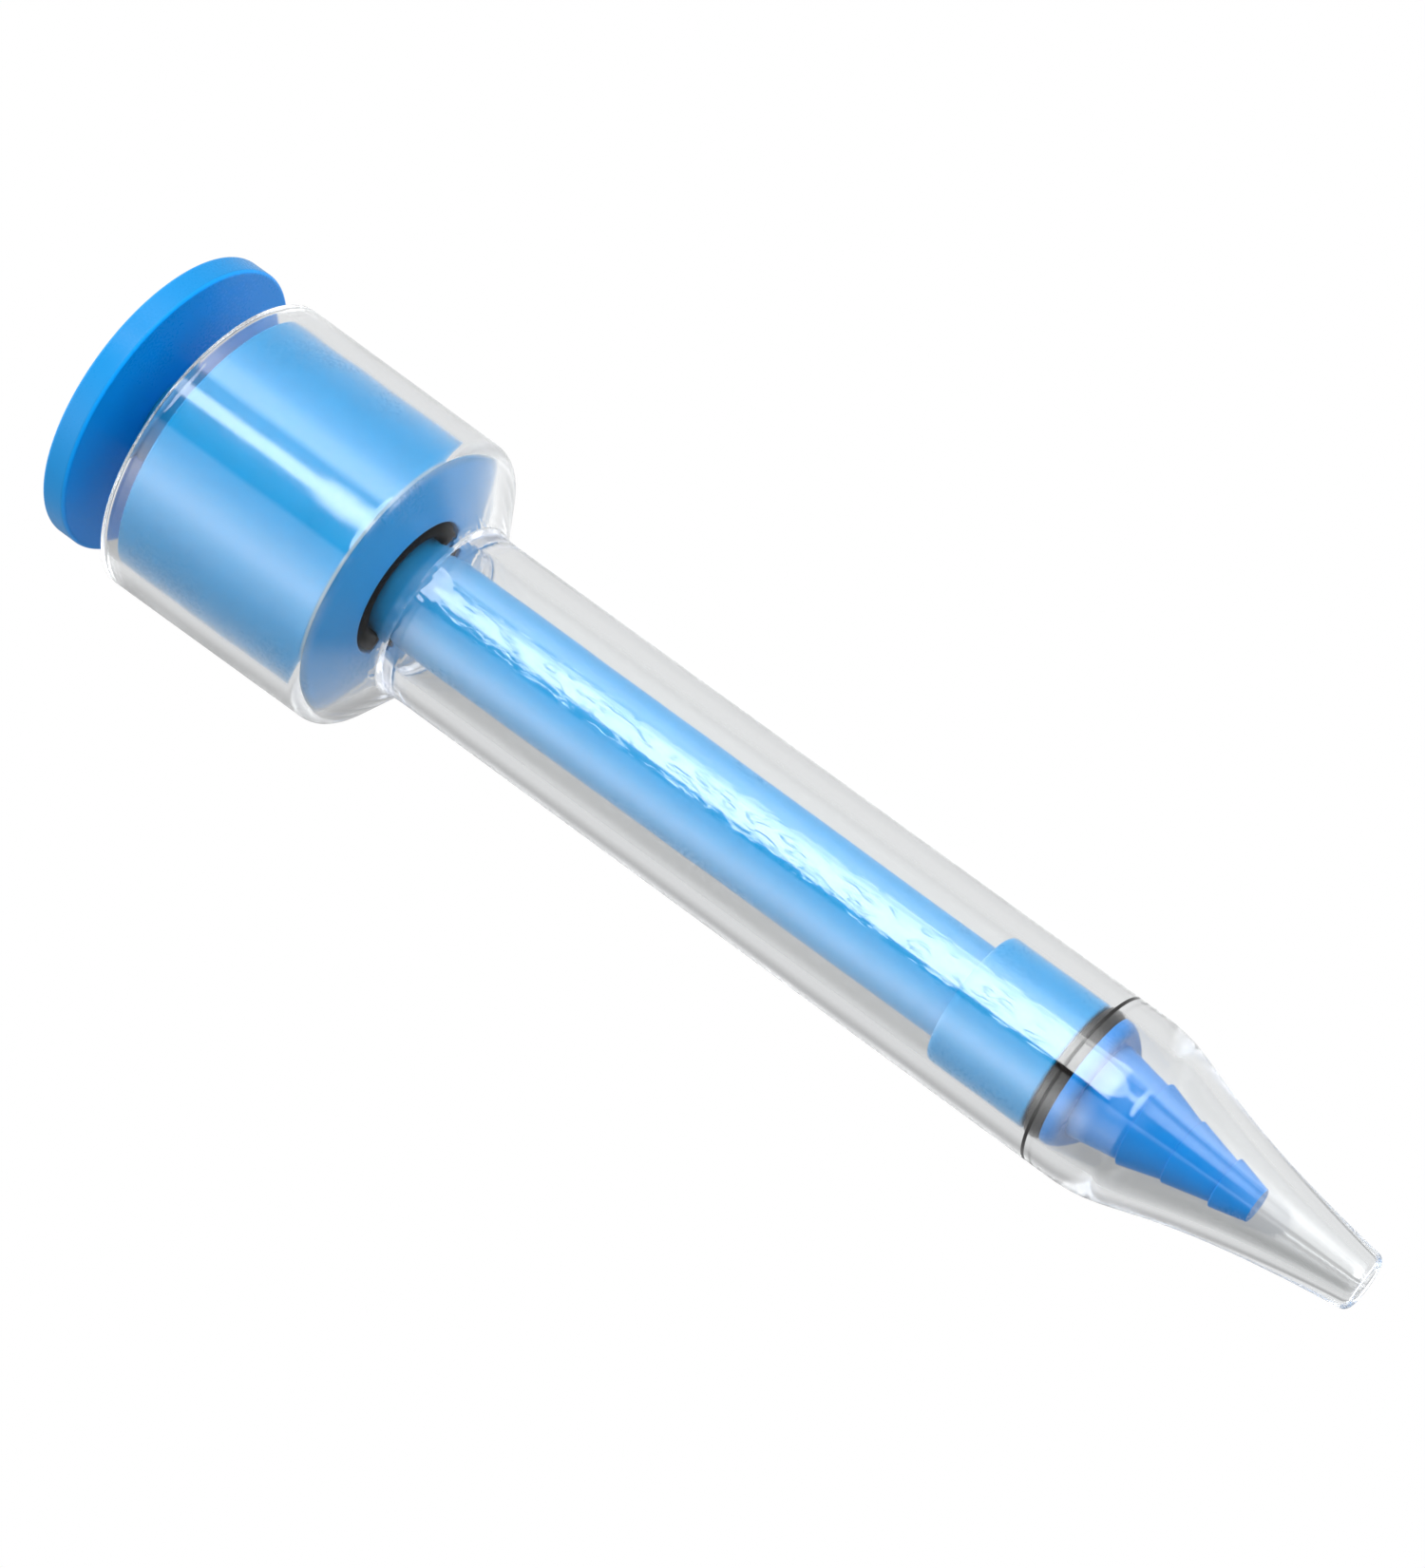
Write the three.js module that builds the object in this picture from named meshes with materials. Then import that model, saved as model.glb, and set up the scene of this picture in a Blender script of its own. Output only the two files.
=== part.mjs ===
// Desoldering pump: a clear two-piece barrel with a fixed blue guide plug, and a blue plunger
// that slides through the plug and carries a sealed piston and a barbed nose.
//
// Millimetres, +Z up. The origin is the centre of the thumb disc's flat rear face, and the
// pump's axis of revolution is +Z, from the thumb disc up to the nozzle.

import * as THREE from 'three';

// ---- Driving dimensions --------------------------------------------------------------

const SEGMENTS = 32; // facets round every turned piece, so that coaxial pieces stay clear
const ARC_STEPS = 2; // a rounded edge is made of twice this many chords
const FIT = 0.05; // clearance between pieces that are pressed, cemented or seated together

const discRadius = 13.96;
const discThickness = 2.45;
const discEdge = 0.35;

const rimZ = 7.0; // open rear end of the chamber
const chamberRearRadius = 14.15;
const chamberFrontRadius = 13.9;
const chamberWall = 1.5;
const shoulderStartZ = 27.8; // end of the chamber's straight wall, where its conical shoulder begins
const shoulderRound = 1.55;
const shoulderTilt = THREE.MathUtils.degToRad(56); // angle between the cone's normal and the radius
const rimRound = 0.4;

const tubeRearRadius = 8.0;
const tubeFrontRadius = 7.83;
const boreRearRadius = 6.25;
const boreFrontRadius = 6.08;
const nozzleStartZ = 101.4; // where the straight tube starts to narrow
const nozzleBoreStartZ = 104.9; // where its bore starts to narrow
const nozzleTipZ = 126.7;
const nozzleTipRadius = 2.62;
const nozzleHoleRadius = 1.45;
const nozzleEdge = 0.4;
const beadWidth = 0.45; // cement fillet between the tube and the shoulder
const beadLength = 2.3;

const plugRearZ = 8.15;
const plugFaceZ = 27.75; // edge of the plug's front, which rises as a shallow cone
const plugNoseZ = 28.55; // flat round the rod seal
const plugNoseRadius = 6.8;
const plugPocketOuterRadius = 10.7;
const plugPocketInnerRadius = 6.5;
const plugFrontWall = 3.6; // behind the edge of the plug's front
const plugEdge = 0.3;
const guideBoreRadius = 4.75;

const rodSealSection = 1.8;
const rodSealInnerRadius = 4.62;

const rodRearRadius = 4.57;
const rodFrontRadius = 4.34;
const rodTaperStartZ = 29.4;
const socketDepth = 1.5; // rod end pressed into the thumb disc
const spigotRadius = 3.0;

const pistonRearZ = 88.2;
const pistonFrontZ = 98.0;
const pistonRadius = 5.94;
const pistonRound = 0.8;
const pistonEdge = 0.25;
const rodSpigotLength = 3.0;
const noseSpigotLength = 2.6;

const pistonRingSection = 1.5;
const grooveWidth = 1.7;
const ringCoreRadius = 4.45;

const flangeRadius = 5.9;
const flangeThickness = 1.2;
const flangeEdge = 0.8;
const noseRearRadius = 4.33;
const noseFrontRadius = 3.54;
const noseConeLength = 4.2;
// Each barb is a cone: radius at its rear lip, radius at its front end, and its length.
const barbs = [
  { rear: 3.87, front: 2.77, length: 3.8 },
  { rear: 2.94, front: 1.95, length: 4.2 },
  { rear: 2.29, front: 1.51, length: 3.2 },
];

// ---- Materials -----------------------------------------------------------------------

const bluePlastic = { color: 0x1880e4, roughness: 0.38, metalness: 0 };
const clearPlastic = { color: 0xe9eef0, roughness: 0.06, metalness: 0, transparent: true, opacity: 0.35 };
const blackRubber = { color: 0x17130f, roughness: 0.6, metalness: 0 };

// ---- Shape helpers -------------------------------------------------------------------

// A profile is a THREE.Path in the (radius, z) plane, walked up the outside and down the inside.
const quarter = Math.PI / 2;

function roundOutsideTop(path, radius, z, round) {
  return path.absarc(radius - round, z - round, round, 0, quarter, false);
}

function roundOutsideBottom(path, radius, z, round) {
  return path.absarc(radius - round, z + round, round, -quarter, 0, false);
}

function turned(name, path, finish) {
  const outline = path.getPoints(ARC_STEPS);
  const geometry = new THREE.LatheGeometry(outline, SEGMENTS);
  geometry.rotateX(quarter);
  const mesh = new THREE.Mesh(geometry, new THREE.MeshStandardMaterial(finish));
  mesh.name = name;
  return mesh;
}

function ring(name, innerRadius, section, z, finish) {
  const profile = new THREE.Path();
  const sectionRadius = section / 2;
  profile.absarc(innerRadius + sectionRadius, z, sectionRadius, 0, 2 * Math.PI, false);
  const outline = profile.getPoints(3 * ARC_STEPS);
  outline[outline.length - 1].copy(outline[0]);
  return turned(name, new THREE.Path(outline), finish);
}

// ---- Barrel --------------------------------------------------------------------------

// Height of the conical shoulder at a radius, on its outside or one wall deeper on its inside.
function shoulderHeight(radius, depth) {
  const cornerRadius = chamberFrontRadius - shoulderRound;
  const offset = (shoulderRound - depth) / Math.sin(shoulderTilt);
  return shoulderStartZ + offset + (cornerRadius - radius) / Math.tan(shoulderTilt);
}

// Wide rear chamber: a cup with its mouth at the rear and a hollow conical shoulder in front,
// with a hole in the shoulder for the tube.
function rearChamber() {
  const innerRear = chamberRearRadius - chamberWall;
  const innerFront = chamberFrontRadius - chamberWall + FIT;
  const holeRadius = tubeRearRadius + FIT;
  const path = new THREE.Path();
  path.moveTo(holeRadius, shoulderHeight(holeRadius, chamberWall));
  path.lineTo(innerFront, shoulderHeight(innerFront, chamberWall));
  path.lineTo(innerRear, rimZ + rimRound);
  path.absarc(innerRear + rimRound, rimZ + rimRound, rimRound, Math.PI, 3 * quarter, false);
  roundOutsideBottom(path, chamberRearRadius, rimZ, rimRound);
  path.absarc(chamberFrontRadius - shoulderRound, shoulderStartZ, shoulderRound, 0, shoulderTilt, false);
  path.lineTo(holeRadius, shoulderHeight(holeRadius, 0));
  path.closePath();
  return turned('rear_chamber', path, clearPlastic);
}

// Slim tube whose rear end is cut flush with the inside of the conical shoulder, and whose front
// end narrows softly into a hollow, slightly concave nozzle.
function nozzleTube() {
  const outer = new THREE.CubicBezierCurve(
    new THREE.Vector2(tubeFrontRadius, nozzleStartZ),
    new THREE.Vector2(tubeFrontRadius, nozzleStartZ + 6.2),
    new THREE.Vector2(nozzleTipRadius + 2.5, nozzleStartZ + 5.9),
    new THREE.Vector2(nozzleTipRadius, nozzleTipZ - nozzleEdge),
  );
  const inner = new THREE.CubicBezierCurve(
    new THREE.Vector2(nozzleHoleRadius, nozzleTipZ),
    new THREE.Vector2(nozzleHoleRadius + 1.5, nozzleTipZ - 13.0),
    new THREE.Vector2(boreFrontRadius, nozzleBoreStartZ + 1.8),
    new THREE.Vector2(boreFrontRadius, nozzleBoreStartZ),
  );
  const nozzleSteps = 10;
  const path = new THREE.Path();
  path.moveTo(boreRearRadius, shoulderHeight(boreRearRadius, chamberWall));
  path.lineTo(tubeRearRadius, shoulderHeight(tubeRearRadius, chamberWall));
  outer.getPoints(nozzleSteps).forEach((point) => path.lineTo(point.x, point.y));
  path.lineTo(nozzleTipRadius - nozzleEdge, nozzleTipZ);
  inner.getPoints(nozzleSteps).forEach((point) => path.lineTo(point.x, point.y));
  path.closePath();
  return turned('nozzle_tube', path, clearPlastic);
}

// Thin concave fillet of cement where the tube leaves the shoulder.
function cementBead() {
  const rootRadius = tubeRearRadius + FIT;
  const toeRadius = rootRadius + beadWidth;
  const rootZ = shoulderHeight(rootRadius, 0) + FIT;
  const toeZ = shoulderHeight(toeRadius, 0) + FIT;
  const path = new THREE.Path();
  path.moveTo(rootRadius, rootZ);
  path.lineTo(toeRadius, toeZ);
  path.quadraticCurveTo(rootRadius + beadWidth / 4, rootZ + beadLength / 4, rootRadius, rootZ + beadLength);
  path.closePath();
  return turned('cement_bead', path, clearPlastic);
}

// Guide plug that fills the chamber: a cup open to the rear, with a central sleeve for the rod
// and a shallow conical front, flat round the recess that holds the rod seal.
function guidePlug() {
  const frontRadius = chamberFrontRadius - chamberWall - FIT;
  const rearRadius = frontRadius + 0.1;
  const pocketFloorZ = plugFaceZ - plugFrontWall;
  const recessRadius = rodSealInnerRadius + rodSealSection + FIT;
  const recessZ = plugNoseZ - rodSealSection - 2 * FIT;
  const path = new THREE.Path();
  path.moveTo(guideBoreRadius, plugRearZ);
  path.lineTo(plugPocketInnerRadius, plugRearZ);
  path.lineTo(plugPocketInnerRadius, pocketFloorZ);
  path.lineTo(plugPocketOuterRadius, pocketFloorZ);
  path.lineTo(plugPocketOuterRadius, plugRearZ);
  roundOutsideBottom(path, rearRadius, plugRearZ, plugEdge);
  roundOutsideTop(path, frontRadius, plugFaceZ, plugEdge);
  path.lineTo(plugNoseRadius, plugNoseZ);
  path.lineTo(recessRadius, plugNoseZ);
  path.lineTo(recessRadius, recessZ);
  path.lineTo(guideBoreRadius, recessZ);
  path.closePath();
  return turned('guide_plug', path, bluePlastic);
}

function rodSeal() {
  const middleZ = plugNoseZ - FIT - rodSealSection / 2;
  return ring('rod_seal', rodSealInnerRadius, rodSealSection, middleZ, blackRubber);
}

// ---- Plunger -------------------------------------------------------------------------

// Flat thumb disc with a blind socket in its front face for the end of the rod.
function thumbDisc() {
  const socketRadius = spigotRadius + FIT;
  const path = new THREE.Path();
  path.moveTo(0, 0);
  path.lineTo(discRadius - discEdge, 0);
  roundOutsideBottom(path, discRadius, 0, discEdge);
  roundOutsideTop(path, discRadius, discThickness, discEdge);
  path.lineTo(socketRadius, discThickness);
  path.lineTo(socketRadius, discThickness - socketDepth);
  path.lineTo(0, discThickness - socketDepth);
  return turned('thumb_disc', path, bluePlastic);
}

// Rod with a pressed spigot at each end: the rear one in the disc, the front one in the piston.
function plungerRod() {
  const path = new THREE.Path();
  path.moveTo(0, discThickness - socketDepth + FIT);
  path.lineTo(spigotRadius, discThickness - socketDepth + FIT);
  path.lineTo(spigotRadius, discThickness + FIT);
  path.lineTo(rodRearRadius, discThickness + FIT);
  path.lineTo(rodRearRadius, rodTaperStartZ);
  path.lineTo(rodFrontRadius, pistonRearZ - FIT);
  path.lineTo(spigotRadius, pistonRearZ - FIT);
  path.lineTo(spigotRadius, pistonRearZ + rodSpigotLength - FIT);
  path.lineTo(0, pistonRearZ + rodSpigotLength - FIT);
  return turned('plunger_rod', path, bluePlastic);
}

// Piston head: a cylinder with a socket at each end, rounded where it meets the rod.
function pistonHead() {
  const socketRadius = spigotRadius + FIT;
  const frontSocketZ = pistonFrontZ - noseSpigotLength;
  const path = new THREE.Path();
  path.moveTo(0, pistonRearZ + rodSpigotLength);
  path.lineTo(socketRadius, pistonRearZ + rodSpigotLength);
  path.lineTo(socketRadius, pistonRearZ);
  roundOutsideBottom(path, pistonRadius, pistonRearZ, pistonRound);
  roundOutsideTop(path, pistonRadius, pistonFrontZ, pistonEdge);
  path.lineTo(socketRadius, pistonFrontZ);
  path.lineTo(socketRadius, frontSocketZ);
  path.lineTo(0, frontSocketZ);
  return turned('piston_head', path, bluePlastic);
}

function pistonRing() {
  const grooveMiddleZ = pistonFrontZ + grooveWidth / 2;
  return ring('piston_o_ring', ringCoreRadius + FIT, pistonRingSection, grooveMiddleZ, blackRubber);
}

// Nose: a spigot and core that hold the O-ring against the piston, a flange, and a stepped cone
// of three barbs that follows the inside of the nozzle.
function barbedNose() {
  const flangeRearZ = pistonFrontZ + grooveWidth;
  const flangeFrontZ = flangeRearZ + flangeThickness;
  const path = new THREE.Path();
  path.moveTo(0, pistonFrontZ - noseSpigotLength + FIT);
  path.lineTo(spigotRadius, pistonFrontZ - noseSpigotLength + FIT);
  path.lineTo(spigotRadius, pistonFrontZ + FIT);
  path.lineTo(ringCoreRadius, pistonFrontZ + FIT);
  path.lineTo(ringCoreRadius, flangeRearZ);
  path.lineTo(flangeRadius, flangeRearZ);
  roundOutsideTop(path, flangeRadius, flangeFrontZ, flangeEdge);
  path.lineTo(noseRearRadius, flangeFrontZ);
  let z = flangeFrontZ + noseConeLength;
  path.lineTo(noseFrontRadius, z);
  for (const barb of barbs) {
    path.lineTo(barb.rear, z);
    z += barb.length;
    path.lineTo(barb.front, z);
  }
  path.lineTo(0, z);
  return turned('barbed_nose', path, bluePlastic);
}

// ---- Assembly ------------------------------------------------------------------------

const barrel = new THREE.Group();
barrel.name = 'barrel';
barrel.add(rearChamber(), nozzleTube(), cementBead(), guidePlug(), rodSeal());

const plunger = new THREE.Group();
plunger.name = 'plunger';
plunger.add(thumbDisc(), plungerRod(), pistonHead(), pistonRing(), barbedNose());

const pump = new THREE.Group();
pump.add(barrel, plunger);

export default pump;
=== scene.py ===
"""Looks of the desoldering pump: smooth turned pieces in clear acrylic, blue plastic and black
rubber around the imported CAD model, with a plain white studio.

Metres in the scene; the outlines of the turned pieces are written in millimetres."""

import math

import bpy
from mathutils import Matrix, Vector


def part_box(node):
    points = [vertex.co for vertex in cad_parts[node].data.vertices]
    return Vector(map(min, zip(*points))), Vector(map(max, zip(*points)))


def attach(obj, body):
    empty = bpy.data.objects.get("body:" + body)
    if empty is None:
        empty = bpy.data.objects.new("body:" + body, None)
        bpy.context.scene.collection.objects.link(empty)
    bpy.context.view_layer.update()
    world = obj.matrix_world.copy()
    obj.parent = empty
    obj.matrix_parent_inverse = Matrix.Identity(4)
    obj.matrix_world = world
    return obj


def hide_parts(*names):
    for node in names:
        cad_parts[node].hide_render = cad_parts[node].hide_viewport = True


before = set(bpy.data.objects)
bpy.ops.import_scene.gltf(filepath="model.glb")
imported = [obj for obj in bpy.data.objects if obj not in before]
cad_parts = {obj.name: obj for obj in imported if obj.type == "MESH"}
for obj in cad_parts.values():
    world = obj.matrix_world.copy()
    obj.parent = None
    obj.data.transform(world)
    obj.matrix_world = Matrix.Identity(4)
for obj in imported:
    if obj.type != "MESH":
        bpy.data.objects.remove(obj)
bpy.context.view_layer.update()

MM = 0.001
AROUND = 256  # segments round every turned piece
ARC_STEP = math.radians(9)  # longest chord of a rounded edge
CURVE_STEPS = 40  # chords of a Bezier curve
SHARP = math.radians(28)  # a fold steeper than this stays a crisp edge
SUPPORT = 0.08  # distance, in mm, of the extra loop that keeps a straight stretch flat


def mm_box(node):
    """Radius, lowest and highest z of a turned CAD node, in millimetres."""
    low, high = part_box(node)
    return high.x / MM, low.z / MM, high.z / MM


# ---- Sizes, in millimetres, from the CAD nodes and the few inner dimensions that they hide ----

DISC_R, DISC_REAR, DISC_FRONT = mm_box("thumb_disc")
CHAMBER_R, RIM_Z, _ = mm_box("rear_chamber")
TUBE_R, _, TIP_Z = mm_box("nozzle_tube")
PLUG_R, PLUG_REAR, _ = mm_box("guide_plug")
SEAL_R, SEAL_REAR, SEAL_FRONT = mm_box("rod_seal")
ROD_R, _, _ = mm_box("plunger_rod")
PISTON_R, PISTON_REAR, PISTON_FRONT = mm_box("piston_head")
_, RING_REAR, RING_FRONT = mm_box("piston_o_ring")
NOSE_R, _, _ = mm_box("barbed_nose")

CHAMBER_FRONT_R = 13.9
WALL = 1.5
SHOULDER_START = 27.8  # end of the chamber's straight wall
SHOULDER_ROUND = 1.55
SHOULDER_TILT = 56  # degrees between the conical shoulder's normal and the radius
RIM_ROUND = 0.4
TUBE_FRONT_R = 7.83
BORE_REAR_R = 6.25
BORE_FRONT_R = 6.08
NOZZLE_Z = 101.4  # where the tube starts to narrow
NOZZLE_BORE_Z = 104.9  # where its bore starts to narrow
TIP_R = 2.62
TIP_HOLE_R = 1.45
TIP_ROUND = 0.7
TIP_HOLE_ROUND = 0.25
# Control points of the nozzle's two Bezier curves, outside and bore. A single number is how far
# along it lies from the end of the straight stretch. A pair is how far out it lies from the radius
# at the tip, and how far along: from that same end for the outside, back from the tip for the bore.
OUTSIDE_REAR_PULL = 6.2
OUTSIDE_FRONT_PULL = (2.5, 5.9)
BORE_FRONT_PULL = (1.45, 13.0)
BORE_REAR_PULL = 1.8
BEAD = 0.35  # width of the cement between the tube and the shoulder
PLUG_FRONT_R = 12.35
PLUG_BORE_R = 4.75
PLUG_SLEEVE_R = 6.5
PLUG_POCKET_R = 10.7
PLUG_FLOOR = 3.6  # thickness of the plug's front
PLUG_EDGE = 0.3
PLUG_FACE = 27.8
PLUG_NOSE = 28.55
BOSS_R = 6.8  # the flat round the rod seal
SEAL_RECESS = 1.9  # its depth
SEAL_RECESS_ROUND = 0.15
BORE_ROUND = 0.2
ROD_FRONT_R = 4.34
ROD_TAPER_Z = 29.4
DISC_EDGE = 0.35
DISC_OFFSET = 0.5  # the disc is pressed on a little off the rod's centre
PISTON_ROUND = 0.8
PISTON_EDGE = 0.25
RING_CORE_R = 4.45
RING_BITE = 0.03  # how far the squeezed O-ring is pressed against the bore
GROOVE = 1.7
FLANGE_THICK = 1.2
FLANGE_EDGE = 0.8
FLANGE_REAR_EDGE = 0.15
CONE_REAR_R = 4.33
CONE_FRONT_R = 3.54
CONE_LENGTH = 4.2
# Each barb: radius at its rear, radius at its front, and its length.
BARBS = ((3.87, 2.77, 3.8), (2.94, 1.95, 4.2), (2.29, 1.51, 3.2))
BARB_LIP = 0.18
GAP = 0.02  # between pieces that are pressed together


# ---- Turned meshes -------------------------------------------------------------------


class Outline:
    """A profile in the (radius, z) plane, in mm, walked up the outside and down the inside."""

    def __init__(self, r, z):
        self.points = [(r, z)]

    def line(self, r, z):
        r0, z0 = self.points[-1]
        length = math.hypot(r - r0, z - z0)
        if length > 4 * SUPPORT:
            for t in (SUPPORT / length, 1 - SUPPORT / length):
                self.points.append((r0 + (r - r0) * t, z0 + (z - z0) * t))
        self.points.append((r, z))
        return self

    def arc(self, centre_r, centre_z, radius, start, end):
        """An arc from angle start to angle end, in degrees, 0 pointing outwards and 90 up."""
        first, last = math.radians(start), math.radians(end)
        steps = max(3, math.ceil(abs(last - first) / ARC_STEP))
        for i in range(steps + 1):
            a = first + (last - first) * i / steps
            point = (centre_r + radius * math.cos(a), centre_z + radius * math.sin(a))
            if math.dist(point, self.points[-1]) > 1e-4:
                self.points.append(point)
        return self

    def outer_top(self, r, z, radius):
        self.line(r, z - radius)
        return self.arc(r - radius, z - radius, radius, 0, 90)

    def outer_bottom(self, r, z, radius):
        self.line(r - radius, z)
        return self.arc(r - radius, z + radius, radius, -90, 0)

    def bezier(self, a, b, c, steps=CURVE_STEPS):
        p = self.points[-1]
        for i in range(1, steps + 1):
            t = i / steps
            s = 1 - t
            self.points.append(tuple(
                s ** 3 * p[k] + 3 * s * s * t * a[k] + 3 * s * t * t * b[k] + t ** 3 * c[k]
                for k in range(2)
            ))
        return self


def ring_faces(low, high, around):
    """The faces between two neighbouring rings, of which one may be a pole."""
    faces = []
    for i in range(around):
        j = (i + 1) % around
        if len(low) == 1:
            faces.append((low[0], high[j], high[i]))
        elif len(high) == 1:
            faces.append((low[i], low[j], high[0]))
        else:
            faces.append((low[i], low[j], high[j], high[i]))
    return faces


def turned(name, outline, around=AROUND):
    """A closed mesh: the outline turned about Z. An end on the axis becomes a pole."""
    points = [(r * MM, z * MM) for r, z in outline.points]
    if math.dist(points[0], points[-1]) < 1e-7:
        points.pop()
    closed = points[0][0] > 1e-9 or points[-1][0] > 1e-9
    verts, rings = [], []
    for r, z in points:
        first = len(verts)
        if r < 1e-9:
            verts.append((0.0, 0.0, z))
            rings.append([first])
            continue
        for i in range(around):
            a = 2 * math.pi * i / around
            verts.append((r * math.cos(a), r * math.sin(a), z))
        rings.append(list(range(first, first + around)))
    pairs = list(zip(rings, rings[1:]))
    if closed:
        pairs.append((rings[-1], rings[0]))
    faces = []
    for low, high in pairs:
        faces.extend(ring_faces(low, high, around))
    mesh = bpy.data.meshes.new(name)
    mesh.from_pydata(verts, [], faces)
    mesh.validate()
    mesh.shade_smooth()
    mesh.set_sharp_from_angle(angle=SHARP)
    piece = bpy.data.objects.new(name, mesh)
    bpy.context.scene.collection.objects.link(piece)
    return piece


def torus(name, middle_r, z, section):
    outline = Outline(middle_r + section, z)
    outline.arc(middle_r, z, section, 0, 360)
    return turned(name, outline)


def settle(piece, body, slot, material, *nodes):
    """Gives a piece its material, its body and the CAD nodes that it stands for."""
    piece.data.materials.append(material)
    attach(piece, body)
    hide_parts(*nodes)
    return piece


# ---- Shader helpers ------------------------------------------------------------------


def blank(name):
    material = bpy.data.materials.new(name)
    material.use_nodes = True
    material.node_tree.nodes.clear()
    return material, material.node_tree


def connect(tree, value, socket):
    """Puts a number or another node's output into a socket."""
    if isinstance(value, bpy.types.NodeSocket):
        tree.links.new(value, socket)
    else:
        socket.default_value = value


def add(tree, kind, **settings):
    """A node of that kind. A setting in lower case is an attribute of it, and any other names
    an input, with _ for spaces."""
    made = tree.nodes.new(kind)
    for key, value in settings.items():
        if key[0].islower():
            setattr(made, key, value)
        else:
            connect(tree, value, made.inputs[key.replace("_", " ")])
    return made


def calculate(tree, operation, *values):
    made = tree.nodes.new("ShaderNodeMath")
    made.operation = operation
    for socket, value in zip(made.inputs, values):
        connect(tree, value, socket)
    return made.outputs[0]


def product(tree, first, *others):
    result = first
    for other in others:
        result = calculate(tree, "MULTIPLY", result, other)
    return result


def total(tree, first, *others):
    result = first
    for other in others:
        result = calculate(tree, "ADD", result, other)
    return result


def distance(tree, value, middle):
    return calculate(tree, "ABSOLUTE", calculate(tree, "SUBTRACT", value, middle))


def ranged(tree, value, low, high, to_low, to_high, interpolation="LINEAR"):
    """Maps the range from low to high onto to_low to to_high, and is constant outside it."""
    made = add(tree, "ShaderNodeMapRange", interpolation_type=interpolation)
    for socket, number in zip(made.inputs, (value, low, high, to_low, to_high)):
        connect(tree, number, socket)
    return made.outputs[0]


def fade(tree, value, low, high, to_low=0, to_high=1):
    return ranged(tree, value, low, high, to_low, to_high, "SMOOTHSTEP")


def window(tree, value, start, full, end, gone):
    """0 up to start, 1 between full and end, and 0 again from gone on."""
    return product(tree, fade(tree, value, start, full), fade(tree, value, end, gone, 1, 0))


def mm_window(tree, value, start, full, end, gone):
    return window(tree, value, start * MM, full * MM, end * MM, gone * MM)


def noise(tree, vector, size, detail=2.0, distortion=0.0):
    """Noise with features of about that size, in metres."""
    made = add(tree, "ShaderNodeTexNoise", Scale=1 / size, Detail=detail, Distortion=distortion)
    tree.links.new(vector, made.inputs["Vector"])
    return made.outputs["Fac"]


def blend(tree, share, first, second):
    """A colour that goes from the first to the second as the share goes from 0 to 1."""
    made = add(tree, "ShaderNodeMix", data_type="RGBA")
    sockets = [made.inputs[0], made.inputs[6], made.inputs[7]]
    for socket, value in zip(sockets, (share, first, second)):
        connect(tree, value, socket)
    return made.outputs[2]


def local_place(tree):
    """The point's place on its piece: the vector, and its x, y and z, in metres."""
    where = add(tree, "ShaderNodeTexCoord").outputs["Object"]
    return where, add(tree, "ShaderNodeSeparateXYZ", Vector=where).outputs


def radius_of(tree, parts):
    """Distance from the pump's axis, in metres."""
    y_squared = calculate(tree, "MULTIPLY", parts[1], parts[1])
    squares = calculate(tree, "MULTIPLY_ADD", parts[0], parts[0], y_squared)
    return calculate(tree, "SQRT", squares)


# ---- Materials -----------------------------------------------------------------------

DISC_BLUE = (0.006, 0.175, 0.43)
# A lighter blue on the disc's front face: painted light that brightens that face.
DISC_FACE_PAINTED_LIGHT = (0.003, 0.35, 1.0, 1)
BODY_BLUE = (0.005, 0.195, 0.42)
# A lighter blue on the plug's front face: painted light that brightens that face.
PLUG_FACE_PAINTED_LIGHT = (0.05, 0.38, 0.84, 1)
NOSE_BLUE = (0.003, 0.150, 0.44)
PAINTED_EDGE_HIGHLIGHT = (0.33, 0.36, 0.36, 1)  # painted highlight: the pale line along the plug's front corner
DISC_GLOSS = 0.13
BODY_GLOSS = 0.25
PLUG_GLOSS = 0.12
NOSE_GLOSS = 0.1
EDGE_HIGHLIGHT_SHARE = 0.75  # how strongly that corner's painted highlight shows
PLASTIC_IOR = 1.5
CLEAR_IOR = 1.49
CLEAR_ROUGHNESS = 0.06

# Where the clear wall's relief is, in mm: it fades in over the first two of each four numbers
# and out over the last two.
CEMENT_Z = (30.4, 31.2, 32.5, 36.0)
CEMENT_R = (7.0, 7.5, 8.4, 9.0)
MARKS_Z = (34, 37, 94, 99)
MARKS_SIDE = (-1.4, -0.6, 0.8, 2.2)
MARKS_FRONT = (6.0, 6.6, 9.0, 9.6)
WAVE_HEIGHT = 0.03
CEMENT_HEIGHT = 0.06
MARKS_HEIGHT = 0.05


def tinted(tree, share, shade):
    """The shade, a little lighter or darker as the share says."""
    darker = (*(0.97 * c for c in shade), 1)
    lighter = (*(1.02 * c for c in shade), 1)
    return blend(tree, share, darker, lighter)


def painted_edge_highlight(tree, colour, parts, cloud):
    """The colour, with a painted highlight: the pale line round the plug's front corner."""
    radius = radius_of(tree, parts)
    corner_r = [(PLUG_FRONT_R - inset) * MM for inset in (0.22, 0.12)]
    corner_z = [(PLUG_FACE - inset) * MM for inset in (0.26, 0.18)]
    far_out = ranged(tree, radius, *corner_r, 0, EDGE_HIGHLIGHT_SHARE)
    far_up = ranged(tree, parts[2], *corner_z, 0, 1)
    patchy = ranged(tree, cloud, 0.3, 0.6, 0.6, 1)
    return blend(tree, product(tree, far_out, far_up, patchy), colour, PAINTED_EDGE_HIGHLIGHT)


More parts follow.
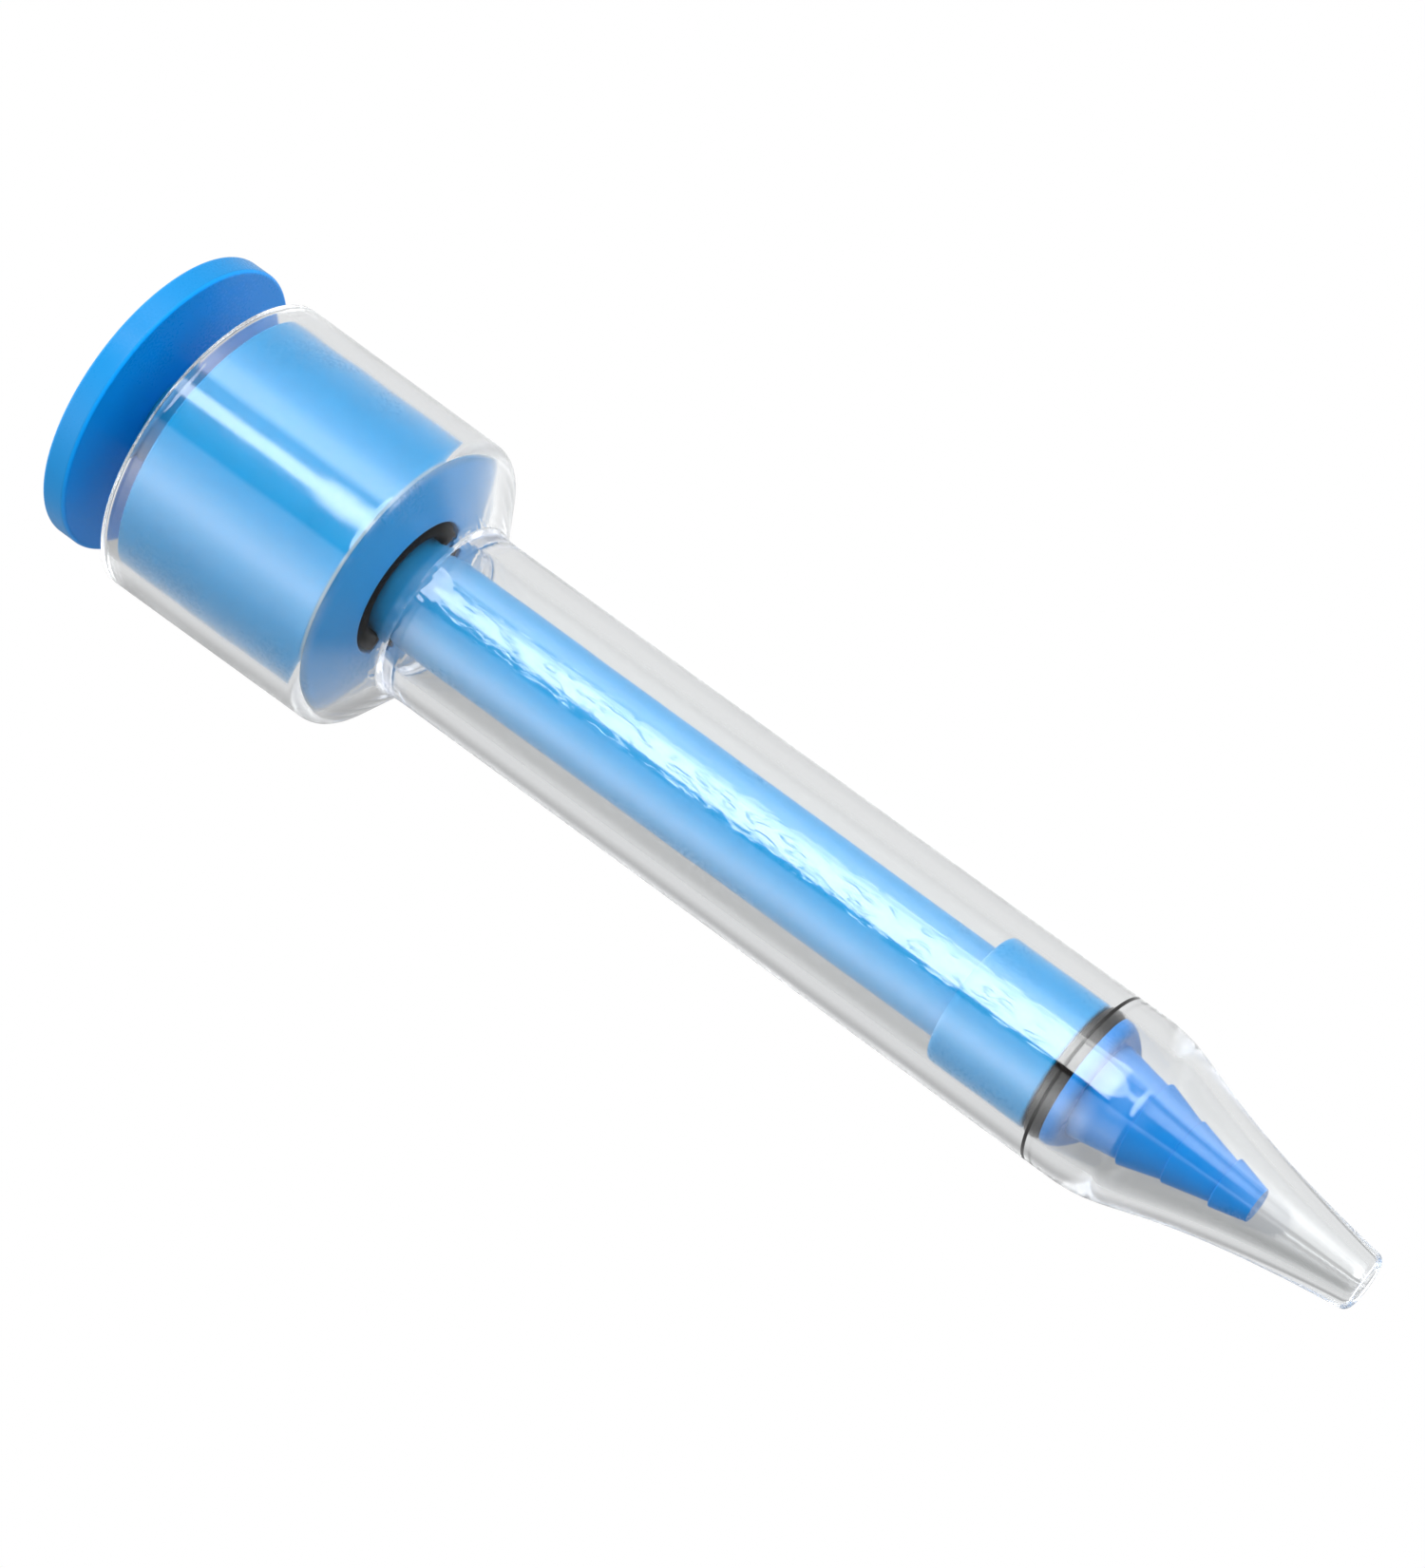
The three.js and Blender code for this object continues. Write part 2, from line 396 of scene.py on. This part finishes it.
def blue_plastic(name, shade, gloss, edge_highlight=False, painted_light_face=None):
    """Moulded blue plastic, a little cloudy and with a fine grain. A lighter face colour, painted
    light, is given to everything above a height, with the two heights, in mm, between which it
    fades in; the plug also gets a painted highlight on its front corner."""
    material, tree = blank(name)
    where, parts = local_place(tree)
    cloud = noise(tree, where, 9 * MM, 3)
    grain = noise(tree, where, 0.25 * MM, 2)
    colour = tinted(tree, ranged(tree, cloud, 0.35, 0.65, 0, 1), shade)
    # Painted highlight: a pale line round the plug's front corner.
    if edge_highlight:
        colour = painted_edge_highlight(tree, colour, parts, cloud)
    # Painted light: a lighter blue on everything above the face's height.
    if painted_light_face:
        start, full, painted_light_colour = painted_light_face
        on_painted_light_face = ranged(tree, parts[2], start * MM, full * MM, 0, 1)
        colour = blend(tree, on_painted_light_face, colour, painted_light_colour)
    cloudy_roughness = ranged(tree, cloud, 0.3, 0.7, 0.26, 0.32)
    roughness = total(tree, cloudy_roughness, ranged(tree, grain, 0.3, 0.7, -0.02, 0.02))
    bump = add(tree, "ShaderNodeBump", Strength=0.08, Distance=0.01 * MM, Height=grain)
    surface = add(
        tree, "ShaderNodeBsdfPrincipled", IOR=PLASTIC_IOR, Base_Color=colour,
        Roughness=roughness, Specular_IOR_Level=gloss, Normal=bump.outputs[0],
    )
    add(tree, "ShaderNodeOutputMaterial", Surface=surface.outputs[0])
    return material


def black_rubber():
    """Black rubber with a thin, uneven film of grease."""
    material, tree = blank("black_rubber")
    where, _ = local_place(tree)
    grain = noise(tree, where, 0.12 * MM, 3)
    film = noise(tree, where, 2.5 * MM, 2)
    bump = add(tree, "ShaderNodeBump", Strength=0.2, Distance=0.01 * MM, Height=grain)
    surface = add(
        tree, "ShaderNodeBsdfPrincipled", IOR=PLASTIC_IOR, Base_Color=(0.004, 0.003, 0.003, 1),
        Roughness=ranged(tree, film, 0.3, 0.7, 0.3, 0.55), Specular_IOR_Level=0.05,
        Normal=bump.outputs[0],
    )
    add(tree, "ShaderNodeOutputMaterial", Surface=surface.outputs[0])
    return material


def cement_wrinkles(tree, where, parts):
    """Height of the wrinkled cement round the neck."""
    wrinkles = noise(tree, where, 2.2 * MM, 1, 1.2)
    at_neck = mm_window(tree, parts[2], *CEMENT_Z)
    near_tube = mm_window(tree, radius_of(tree, parts), *CEMENT_R)
    return product(tree, wrinkles, CEMENT_HEIGHT * MM, at_neck, near_tube)


def rub_marks(tree, where, parts):
    """Height of the fine slanted marks in a band along the tube."""
    slanted = add(
        tree, "ShaderNodeMapping", Vector=where, Rotation=(0, math.radians(32), 0),
        Scale=(2.6, 1.0, 0.7),
    )
    strokes = noise(tree, slanted.outputs[0], 1.5 * MM, 1)
    height = ranged(tree, strokes, 0.54, 0.66, 0, MARKS_HEIGHT * MM)
    front = product(tree, parts[1], -1.0)
    side = calculate(tree, "MULTIPLY_ADD", parts[0], -1.0, product(tree, front, -0.1))
    across = mm_window(tree, side, *MARKS_SIDE)
    on_front = mm_window(tree, front, *MARKS_FRONT)
    along = mm_window(tree, parts[2], *MARKS_Z)
    return product(tree, height, across, on_front, along)


def clear_plastic():
    """Clear acrylic with the moulding's soft waves, the wrinkled cement and the rub marks. Shadow
    rays pass straight through it, a little dimmed."""
    material, tree = blank("clear_plastic")
    where, parts = local_place(tree)
    waves = product(tree, noise(tree, where, 7 * MM, 1), WAVE_HEIGHT * MM)
    height = total(
        tree, waves, cement_wrinkles(tree, where, parts), rub_marks(tree, where, parts)
    )
    relief = add(tree, "ShaderNodeBump", Strength=1.0, Distance=1.0, Height=height)
    surface = add(
        tree, "ShaderNodeBsdfPrincipled", IOR=CLEAR_IOR, Roughness=CLEAR_ROUGHNESS,
        Base_Color=(0.985, 0.992, 0.995, 1), Transmission_Weight=1, Normal=relief.outputs[0],
    )
    through = add(tree, "ShaderNodeBsdfTransparent", Color=(0.80, 0.81, 0.82, 1))
    rays = add(tree, "ShaderNodeLightPath")
    mix = add(tree, "ShaderNodeMixShader")
    tree.links.new(rays.outputs["Is Shadow Ray"], mix.inputs[0])
    tree.links.new(surface.outputs[0], mix.inputs[1])
    tree.links.new(through.outputs[0], mix.inputs[2])
    add(tree, "ShaderNodeOutputMaterial", Surface=mix.outputs[0])
    return material


# ---- Pieces --------------------------------------------------------------------------


def clear_barrel():
    """Chamber, tube, nozzle and the cement bead between them, fused as the real joint is."""
    inner_r = CHAMBER_R - WALL
    tilt = math.radians(SHOULDER_TILT)
    rise = 1 / math.tan(tilt)
    corner_r = CHAMBER_FRONT_R - SHOULDER_ROUND
    inner_round = SHOULDER_ROUND - WALL
    hole_corner_r = TIP_HOLE_R + TIP_HOLE_ROUND

    def cone_z(r, away):
        """Height of the cone that lies that far away from the corner's centre."""
        return SHOULDER_START + away / math.sin(tilt) + (corner_r - r) * rise

    neck_z = cone_z(TUBE_R + BEAD, SHOULDER_ROUND)
    path = Outline(inner_r, RIM_Z + RIM_ROUND)
    path.arc(inner_r + RIM_ROUND, RIM_Z + RIM_ROUND, RIM_ROUND, 180, 270)
    path.outer_bottom(CHAMBER_R, RIM_Z, RIM_ROUND)
    path.line(CHAMBER_FRONT_R, SHOULDER_START)
    path.arc(corner_r, SHOULDER_START, SHOULDER_ROUND, 0, SHOULDER_TILT)
    path.line(TUBE_R + BEAD, neck_z)
    path.bezier(
        (TUBE_R + 0.4 * BEAD, neck_z + 0.5 * BEAD), (TUBE_R, neck_z + 3 * BEAD),
        (TUBE_R, neck_z + 7 * BEAD), 16,
    )
    path.line(TUBE_FRONT_R, NOZZLE_Z)
    pull_r, pull_z = OUTSIDE_FRONT_PULL
    path.bezier(
        (TUBE_FRONT_R, NOZZLE_Z + OUTSIDE_REAR_PULL), (TIP_R + pull_r, NOZZLE_Z + pull_z),
        (TIP_R, TIP_Z - TIP_ROUND),
    )
    path.arc(TIP_R - TIP_ROUND, TIP_Z - TIP_ROUND, TIP_ROUND, 5, 90)
    path.line(hole_corner_r, TIP_Z)
    path.arc(hole_corner_r, TIP_Z - TIP_HOLE_ROUND, TIP_HOLE_ROUND, 90, 180)
    pull_r, pull_z = BORE_FRONT_PULL
    path.bezier(
        (TIP_HOLE_R + pull_r, TIP_Z - pull_z), (BORE_FRONT_R, NOZZLE_BORE_Z + BORE_REAR_PULL),
        (BORE_FRONT_R, NOZZLE_BORE_Z),
    )
    path.line(BORE_REAR_R, cone_z(BORE_REAR_R, inner_round))
    path.line(
        corner_r + inner_round * math.cos(tilt), SHOULDER_START + inner_round * math.sin(tilt)
    )
    path.arc(corner_r, SHOULDER_START, inner_round, SHOULDER_TILT, 0)
    path.line(inner_r, RIM_Z + RIM_ROUND)
    return turned("clear_barrel", path)


def guide_plug():
    """A cup, open to the rear, with a sleeve for the rod and a recess for its seal."""
    floor_z = PLUG_FACE - PLUG_FLOOR
    recess_r = SEAL_R + 0.05
    recess_z = PLUG_NOSE - SEAL_RECESS
    lip_r = recess_r + SEAL_RECESS_ROUND
    path = Outline(PLUG_BORE_R, PLUG_REAR + BORE_ROUND)
    path.arc(PLUG_BORE_R + BORE_ROUND, PLUG_REAR + BORE_ROUND, BORE_ROUND, 180, 270)
    path.line(PLUG_SLEEVE_R, PLUG_REAR)
    path.line(PLUG_SLEEVE_R, floor_z)
    path.line(PLUG_POCKET_R, floor_z)
    path.line(PLUG_POCKET_R, PLUG_REAR)
    path.outer_bottom(PLUG_R, PLUG_REAR, PLUG_EDGE)
    path.outer_top(PLUG_FRONT_R, PLUG_FACE, PLUG_EDGE)
    path.line(BOSS_R, PLUG_NOSE)
    path.line(lip_r, PLUG_NOSE)
    path.arc(lip_r, PLUG_NOSE - SEAL_RECESS_ROUND, SEAL_RECESS_ROUND, 90, 180)
    path.line(recess_r, recess_z)
    path.line(PLUG_BORE_R, recess_z)
    path.line(PLUG_BORE_R, PLUG_REAR + BORE_ROUND)
    return turned("guide_plug_turned", path)


def thumb_disc():
    path = Outline(0, DISC_REAR)
    path.outer_bottom(DISC_R, DISC_REAR, DISC_EDGE)
    path.outer_top(DISC_R, DISC_FRONT, DISC_EDGE)
    path.line(0, DISC_FRONT)
    return turned("thumb_disc_turned", path)


def plunger_rod():
    path = Outline(0, DISC_FRONT + GAP)
    path.line(ROD_R, DISC_FRONT + GAP)
    path.line(ROD_R, ROD_TAPER_Z)
    path.line(ROD_FRONT_R, PISTON_REAR - GAP)
    path.line(0, PISTON_REAR - GAP)
    return turned("plunger_rod_turned", path)


def piston_head():
    path = Outline(0, PISTON_REAR)
    path.outer_bottom(PISTON_R, PISTON_REAR, PISTON_ROUND)
    path.outer_top(PISTON_R, PISTON_FRONT, PISTON_EDGE)
    path.line(0, PISTON_FRONT)
    return turned("piston_head_turned", path)


def barbed_nose():
    """The core under the O-ring, a flange, and a cone with three barbs."""
    flange_rear = PISTON_FRONT + GROOVE
    flange_front = flange_rear + FLANGE_THICK
    edge_r = NOSE_R - FLANGE_REAR_EDGE
    path = Outline(0, PISTON_FRONT + GAP)
    path.line(RING_CORE_R, PISTON_FRONT + GAP)
    path.line(RING_CORE_R, flange_rear)
    path.line(edge_r, flange_rear)
    path.arc(edge_r, flange_rear + FLANGE_REAR_EDGE, FLANGE_REAR_EDGE, 270, 360)
    path.outer_top(NOSE_R, flange_front, FLANGE_EDGE)
    path.line(CONE_REAR_R, flange_front)
    z = flange_front + CONE_LENGTH
    path.line(CONE_FRONT_R, z)
    for rear_r, front_r, length in BARBS:
        path.line(rear_r - BARB_LIP, z)
        path.arc(rear_r - BARB_LIP, z + BARB_LIP, BARB_LIP, 270, 350)
        z += length
        path.line(front_r, z)
    path.line(0, z)
    return turned("barbed_nose_turned", path)


def rod_seal():
    section = (SEAL_FRONT - SEAL_REAR) / 2
    return torus("rod_seal_ring", SEAL_R - section, PLUG_NOSE - section, section)


def piston_ring():
    section = (BORE_FRONT_R + RING_BITE - RING_CORE_R) / 2
    return torus("piston_ring", RING_CORE_R + section, (RING_REAR + RING_FRONT) / 2, section)


def build_pump():
    clear, rubber = clear_plastic(), black_rubber()
    # Painted light: a lighter blue on the disc's front face.
    disc_painted_light = (DISC_FRONT - 0.3, DISC_FRONT - 0.05, DISC_FACE_PAINTED_LIGHT)
    disc_blue = blue_plastic("blue_disc", DISC_BLUE, DISC_GLOSS, False, disc_painted_light)
    body_blue = blue_plastic("blue_body", BODY_BLUE, BODY_GLOSS)
    nose_blue = blue_plastic("blue_nose", NOSE_BLUE, NOSE_GLOSS)
    # Painted light: a lighter blue on the plug's front face; the True adds a painted highlight on
    # its front corner.
    plug_painted_light = (PLUG_FACE - 0.1, PLUG_FACE + 0.05, PLUG_FACE_PAINTED_LIGHT)
    plug_blue = blue_plastic("blue_plug", BODY_BLUE, PLUG_GLOSS, True, plug_painted_light)
    clear_nodes = ("rear_chamber", "nozzle_tube", "cement_bead")
    settle(clear_barrel(), "barrel", "clear_plastic", clear, *clear_nodes)
    settle(guide_plug(), "barrel", "blue_plastic", plug_blue, "guide_plug")
    settle(rod_seal(), "barrel", "black_rubber", rubber, "rod_seal")
    disc = thumb_disc()
    disc.location.x = -DISC_OFFSET * MM
    settle(disc, "plunger", "blue_plastic", disc_blue, "thumb_disc")
    settle(plunger_rod(), "plunger", "blue_plastic", body_blue, "plunger_rod")
    settle(piston_head(), "plunger", "blue_plastic", body_blue, "piston_head")
    settle(barbed_nose(), "plunger", "blue_plastic", nose_blue, "barbed_nose")
    settle(piston_ring(), "plunger", "black_rubber", rubber, "piston_o_ring")


# ---- Studio --------------------------------------------------------------------------

# The camera stands this far from the aim point, off the pump's flank and a little ahead of it.
AIM_Z = 0.0601
DISTANCE = 0.420
RISE = math.asin(0.3007)  # angle between the view and the plane square to the pump's axis
ROLL = math.radians(36)  # the pump leans this much in the picture
DROP = 0.00165  # the axis passes this far beside the picture's centre
LENS = 119.0


def make_camera():
    along = Vector((0, math.sin(RISE), math.cos(RISE)))
    side = Vector((-1, 0, 0))
    back = Vector((0, -math.cos(RISE), math.sin(RISE)))
    right = math.cos(ROLL) * along + math.sin(ROLL) * side
    up = math.cos(ROLL) * side - math.sin(ROLL) * along
    data = bpy.data.cameras.new("camera")
    data.lens = LENS
    data.sensor_width = 36
    data.clip_start = 0.01
    data.clip_end = 20
    camera = bpy.data.objects.new("camera", data)
    camera.matrix_world = Matrix((right, up, back)).transposed().to_4x4()
    camera.location = Vector((0, 0, AIM_Z)) + DISTANCE * back + DROP * side
    bpy.context.scene.collection.objects.link(camera)
    bpy.context.scene.camera = camera


# Brightness of the studio round the pump's axis: degrees from the camera's side, positive
# towards the key light, and radiance.
ROUND = (
    (-180, 0.55), (-168, 0.36), (-158, 0.42), (-150, 0.58), (-140, 0.72), (-122, 0.72),
    (-100, 0.65), (-80, 1.0), (-60, 2.2), (-45, 3.9), (-35, 3.1), (-20, 1.7), (-8, 1.0),
    (-6, 0.02), (8, 0.02), (30, 0.8), (37, 0.8), (39, 4.0), (51, 3.6), (62, 1.85), (74, 1.15),
    (88, 0.75), (130, 0.78), (180, 0.78),
)
ROUND_TOP = 4.0  # its brightest level
REAR_END_RADIANCE = 2.5  # below the thumb disc
FRONT_END_RADIANCE = 0.15  # above the nozzle
END_START = 0.68  # sine of the angle above or below the horizon where the ends fade in
END_FULL = 0.84
AHEAD_RADIANCE = 0.9  # a small light straight ahead
AHEAD_SIDE = (8, 20)  # its edge, in degrees from the camera's side
AHEAD_UP = (2, 6, 13, 20)  # it fades in and out over these degrees above the horizon
BACK_HIGH_GAIN = 0.35  # how much brighter the backdrop is above the pump's middle
LOW_FADE = 0.92  # share of the low side light that is missing above the pump's middle
# The key light is a nearly round softbox: its middle and half its width and height, in degrees
# seen from the pump. Its bottom is dimmer, and so is the side that is turned away.
KEY_AZIMUTH = 21.0
KEY_ELEVATION = -2.0
KEY_HALF_WIDTH = 22.5
KEY_HALF_HEIGHT = 19.8
KEY_POWER = 2.5  # 2 is an ellipse, and more fills its corners
KEY_RADIANCE = 9.0
KEY_BOTTOM = 0.7
KEY_FAR_SIDE = 0.75
KEY_OPEN_TOP = (0, 4)  # the box is cut off over these degrees above the horizon
KEY_LOW = (-24, -18)  # where it goes from the dimmer bottom to its full radiance
KEY_TURNED = (25, 38)  # and, round the axis, to the dimmer side
TAIL_TOP = -20  # a narrow streak of it reaches further down from here
TAIL_HALF_WIDTH = 4.7
STRIP_UP = (8, 16, 32, 44)  # a dimmer strip above it fades in and out over these degrees
STRIP_HALF_WIDTH = 8.0
STRIP_RADIANCE = 2.0
LIGHT_TINT = (0.985, 0.995, 1.0, 1)
WHITE = (1, 1, 1, 1)


def round_radiance(tree, azimuth):
    """The brightness that ROUND gives for an azimuth in radians."""
    ramp = add(tree, "ShaderNodeValToRGB")
    tree.links.new(ranged(tree, azimuth, -math.pi, math.pi, 0, 1), ramp.inputs[0])
    stops = ramp.color_ramp.elements
    for degrees, _ in ROUND[1:-1]:
        stops.new((degrees + 180) / 360)
    for stop, (_, radiance) in zip(stops, ROUND):
        level = radiance / ROUND_TOP
        stop.color = (level, level, level, 1)
    return product(tree, ramp.outputs[0], ROUND_TOP)


def key_radiance(tree, side, up):
    """The key light and the strip above it, for directions in degrees."""
    beside = distance(tree, side, KEY_AZIMUTH)
    above = distance(tree, up, KEY_ELEVATION)
    across = calculate(tree, "POWER", calculate(tree, "DIVIDE", beside, KEY_HALF_WIDTH), KEY_POWER)
    upright = calculate(tree, "POWER", calculate(tree, "DIVIDE", above, KEY_HALF_HEIGHT), KEY_POWER)
    box = fade(tree, total(tree, across, upright), 0.92, 1.08, 1, 0)
    tail_side = fade(tree, beside, TAIL_HALF_WIDTH - 1, TAIL_HALF_WIDTH + 1, 1, 0)
    tail = product(tree, fade(tree, up, TAIL_TOP, TAIL_TOP - 1), tail_side)
    open_top = fade(tree, up, *KEY_OPEN_TOP, 1, 0)
    shape = product(tree, calculate(tree, "MAXIMUM", box, tail), open_top)
    low_shade = fade(tree, up, *KEY_LOW, KEY_BOTTOM, 1)
    side_shade = fade(tree, side, *KEY_TURNED, 1, KEY_FAR_SIDE)
    key = product(tree, shape, product(tree, low_shade, side_shade), KEY_RADIANCE)
    strip_side = fade(tree, beside, STRIP_HALF_WIDTH - 3, STRIP_HALF_WIDTH + 3, 1, 0)
    strip = product(tree, window(tree, up, *STRIP_UP), strip_side, STRIP_RADIANCE)
    return total(tree, key, strip)


def studio_radiance(tree, azimuth, side, up, height):
    """The studio without the key light. The height is the direction's z, from -1 to 1."""
    low_side = product(tree, fade(tree, side, -8, -16), fade(tree, side, -100, -80))
    low_light = product(tree, low_side, fade(tree, up, -6, 3))
    low_left = calculate(tree, "MULTIPLY_ADD", low_light, -LOW_FADE, 1.0)
    behind = fade(tree, calculate(tree, "ABSOLUTE", side), 95, 120)
    back_high = product(tree, behind, fade(tree, up, 0, 12, 0, BACK_HIGH_GAIN))
    around = product(
        tree, round_radiance(tree, azimuth), low_left, total(tree, back_high, 1.0)
    )
    ends = fade(tree, calculate(tree, "ABSOLUTE", height), END_START, END_FULL)
    around = product(tree, around, calculate(tree, "SUBTRACT", 1.0, ends))
    end_level = fade(tree, height, -0.5, 0.5, REAR_END_RADIANCE, FRONT_END_RADIANCE)
    ahead_side = fade(tree, calculate(tree, "ABSOLUTE", side), *AHEAD_SIDE, 1, 0)
    ahead = product(tree, ahead_side, window(tree, up, *AHEAD_UP), AHEAD_RADIANCE)
    return total(tree, around, product(tree, ends, end_level), ahead)


def make_world():
    """Light from all round the pump, in front of a background that the camera sees as white."""
    world = bpy.data.worlds.new("studio")
    bpy.context.scene.world = world
    world.use_nodes = True
    tree = world.node_tree
    tree.nodes.clear()
    direction = add(tree, "ShaderNodeTexCoord").outputs["Generated"]
    x, y, z = add(tree, "ShaderNodeSeparateXYZ", Vector=direction).outputs
    azimuth = calculate(tree, "ARCTAN2", product(tree, x, -1.0), product(tree, y, -1.0))
    side = product(tree, azimuth, 180 / math.pi)
    up = product(tree, calculate(tree, "ARCSINE", z), 180 / math.pi)
    radiance = total(
        tree, key_radiance(tree, side, up), studio_radiance(tree, azimuth, side, up, z)
    )
    light = add(tree, "ShaderNodeBackground", Color=LIGHT_TINT, Strength=radiance)
    white = add(tree, "ShaderNodeBackground", Color=WHITE, Strength=1.0)
    rays = add(tree, "ShaderNodeLightPath")
    mix = add(tree, "ShaderNodeMixShader")
    tree.links.new(rays.outputs["Is Camera Ray"], mix.inputs[0])
    tree.links.new(light.outputs[0], mix.inputs[1])
    tree.links.new(white.outputs[0], mix.inputs[2])
    add(tree, "ShaderNodeOutputWorld", Surface=mix.outputs[0])


FLOOR_Z = -0.08  # below the thumb disc when the plunger is pulled out


def make_floor():
    """A plain white floor that only the camera sees."""
    half = 3.0
    corners = [(-half, -half, 0), (half, -half, 0), (half, half, 0), (-half, half, 0)]
    mesh = bpy.data.meshes.new("floor")
    mesh.from_pydata(corners, [], [(0, 1, 2, 3)])
    floor = bpy.data.objects.new("floor", mesh)
    floor.location.z = FLOOR_Z
    bpy.context.scene.collection.objects.link(floor)
    material, tree = blank("floor_white")
    glow = add(tree, "ShaderNodeEmission", Color=WHITE, Strength=1.0)
    add(tree, "ShaderNodeOutputMaterial", Surface=glow.outputs[0])
    floor.data.materials.append(material)
    floor.visible_diffuse = False
    floor.visible_glossy = False
    floor.visible_transmission = False
    floor.visible_shadow = False


def set_light_paths():
    scene = bpy.context.scene
    scene.view_settings.view_transform = "Standard"
    scene.cycles.max_bounces = 64
    scene.cycles.transmission_bounces = 64
    scene.cycles.glossy_bounces = 64
    scene.cycles.transparent_max_bounces = 24
    scene.cycles.caustics_refractive = True
    scene.cycles.caustics_reflective = True
    scene.cycles.use_denoising = True


make_camera()
build_pump()
make_world()
make_floor()
set_light_paths()
